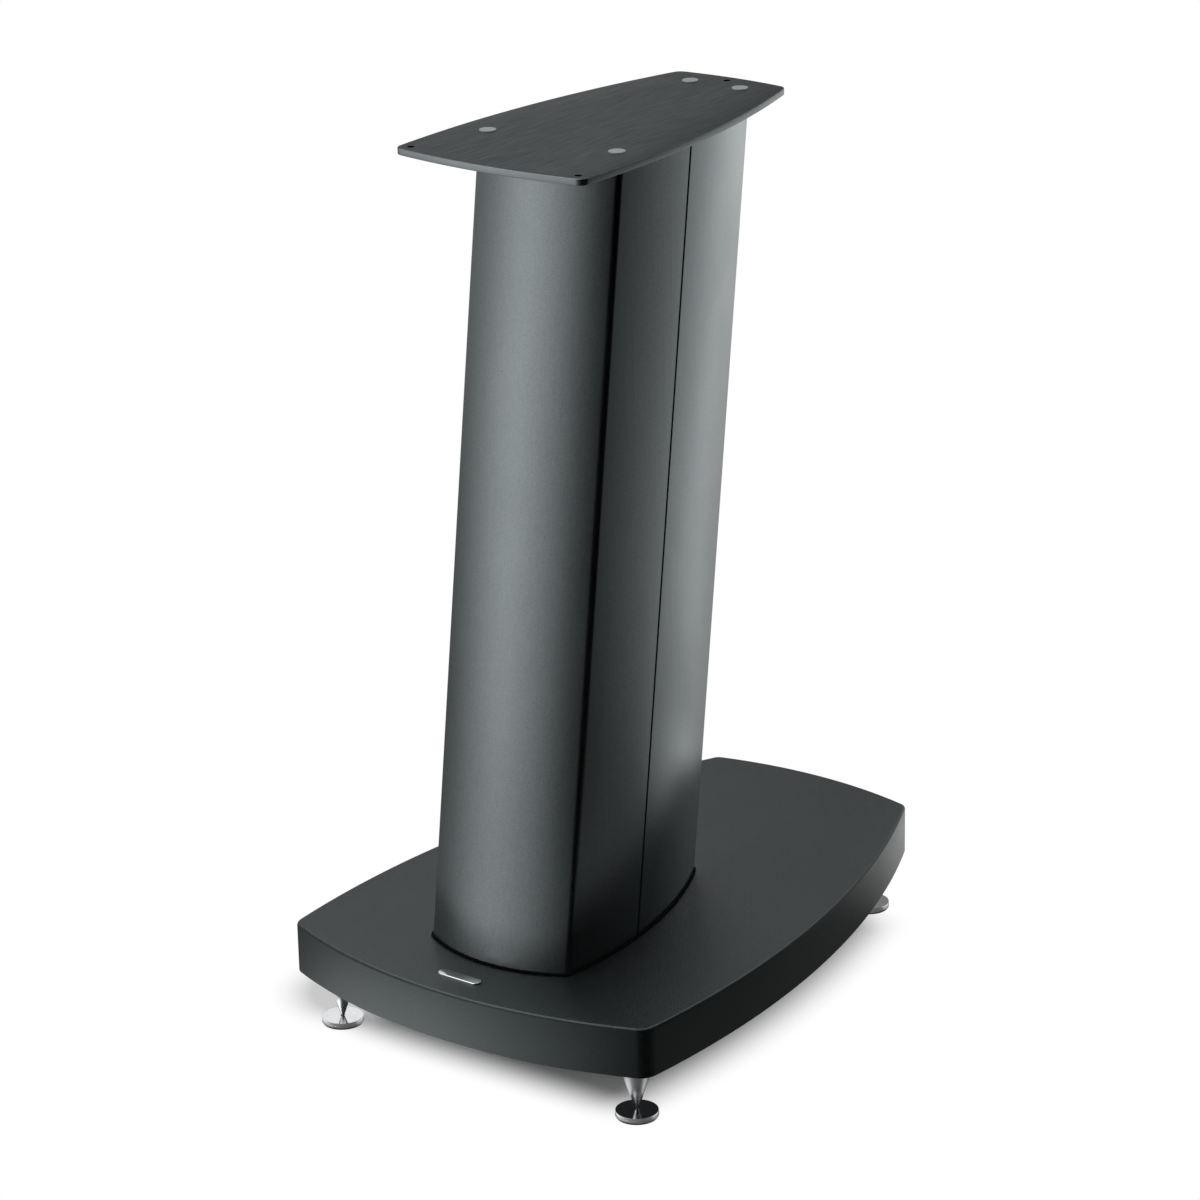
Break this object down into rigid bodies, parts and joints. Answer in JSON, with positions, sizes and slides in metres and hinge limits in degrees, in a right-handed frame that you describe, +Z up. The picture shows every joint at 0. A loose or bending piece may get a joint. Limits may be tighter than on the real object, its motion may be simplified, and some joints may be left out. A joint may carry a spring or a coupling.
{
  "type": "speaker stand",
  "caption": "Loudspeaker stand with a bowed base board on spikes and floor discs, a leaning two-shell column and a thin top plate.",
  "frame": {"origin": "on the floor, under the middle of the base board's length and width", "axes": "+Z up, -Y to the stand's front, +X to the right as seen from behind the front edge looking back along +Y"},
  "size_m": [0.304, 0.4416, 0.6108],
  "materials": {
    "board_lacquer": "satin charcoal lacquer on fibreboard",
    "column_paint": "satin dark grey coat with a fine texture",
    "plate_anodised": "black anodised, brushed front to back",
    "gasket_black": "matt",
    "seam_black": "matt",
    "pad_grey": "satin",
    "pad_black": "matt",
    "polished_steel": "turned and polished",
    "polished_metal": "polished",
    "zinc": "zinc plated",
    "bolt_black": "black oxide",
    "insert_brass": "turned"
  },
  "bodies": {
    "stand": {"base_board": "board_lacquer", "spike_inserts": "insert_brass", "column_bolts": "bolt_black", "column_bolt_washers": "zinc", "column_gasket": "gasket_black", "column_front_shell": "column_paint", "column_rear_shell": "column_paint", "column_seam_strips": "seam_black", "top_plate": "plate_anodised", "plate_screws": "zinc", "screw_cover_pads": "pad_grey", "blank_emblem": "polished_metal"},
    "disc_front_left": {"floor_disc_front_left": "polished_steel", "disc_pad_front_left": "pad_black"},
    "spike_front_left": {"spike_front_left": "polished_steel"},
    "disc_front_right": {"floor_disc_front_right": "polished_steel", "disc_pad_front_right": "pad_black"},
    "spike_front_right": {"spike_front_right": "polished_steel"},
    "disc_rear_left": {"floor_disc_rear_left": "polished_steel", "disc_pad_rear_left": "pad_black"},
    "spike_rear_left": {"spike_rear_left": "polished_steel"},
    "disc_rear_right": {"floor_disc_rear_right": "polished_steel", "disc_pad_rear_right": "pad_black"},
    "spike_rear_right": {"spike_rear_right": "polished_steel"}
  },
  "joints": [
    {"name": "foot_front_left_travel", "type": "slide", "parent": "stand", "child": "disc_front_left", "axis": [0, 0, -1], "range_m": [-0.003, 0.008]},
    {"name": "spike_front_left_turn", "type": "hinge", "parent": "disc_front_left", "child": "spike_front_left", "pos_m": [-0.1239, -0.17175, 0.03], "axis": [0, 0, -1], "range_deg": [-865, 2305]},
    {"name": "foot_front_right_travel", "type": "slide", "parent": "stand", "child": "disc_front_right", "axis": [0, 0, -1], "range_m": [-0.003, 0.008]},
    {"name": "spike_front_right_turn", "type": "hinge", "parent": "disc_front_right", "child": "spike_front_right", "pos_m": [0.1239, -0.17175, 0.03], "axis": [0, 0, -1], "range_deg": [-865, 2305]},
    {"name": "foot_rear_left_travel", "type": "slide", "parent": "stand", "child": "disc_rear_left", "axis": [0, 0, -1], "range_m": [-0.003, 0.008]},
    {"name": "spike_rear_left_turn", "type": "hinge", "parent": "disc_rear_left", "child": "spike_rear_left", "pos_m": [-0.0658, 0.18685, 0.03], "axis": [0, 0, -1], "range_deg": [-865, 2305]},
    {"name": "foot_rear_right_travel", "type": "slide", "parent": "stand", "child": "disc_rear_right", "axis": [0, 0, -1], "range_m": [-0.003, 0.008]},
    {"name": "spike_rear_right_turn", "type": "hinge", "parent": "disc_rear_right", "child": "spike_rear_right", "pos_m": [0.0658, 0.18685, 0.03], "axis": [0, 0, -1], "range_deg": [-865, 2305]}
  ],
  "couplings": [
    {"joint": "spike_front_left_turn", "follows": "foot_front_left_travel", "rad_per_m": 5026.5},
    {"joint": "spike_front_right_turn", "follows": "foot_front_right_travel", "rad_per_m": 5026.5},
    {"joint": "spike_rear_left_turn", "follows": "foot_rear_left_travel", "rad_per_m": 5026.5},
    {"joint": "spike_rear_right_turn", "follows": "foot_rear_right_travel", "rad_per_m": 5026.5}
  ]
}
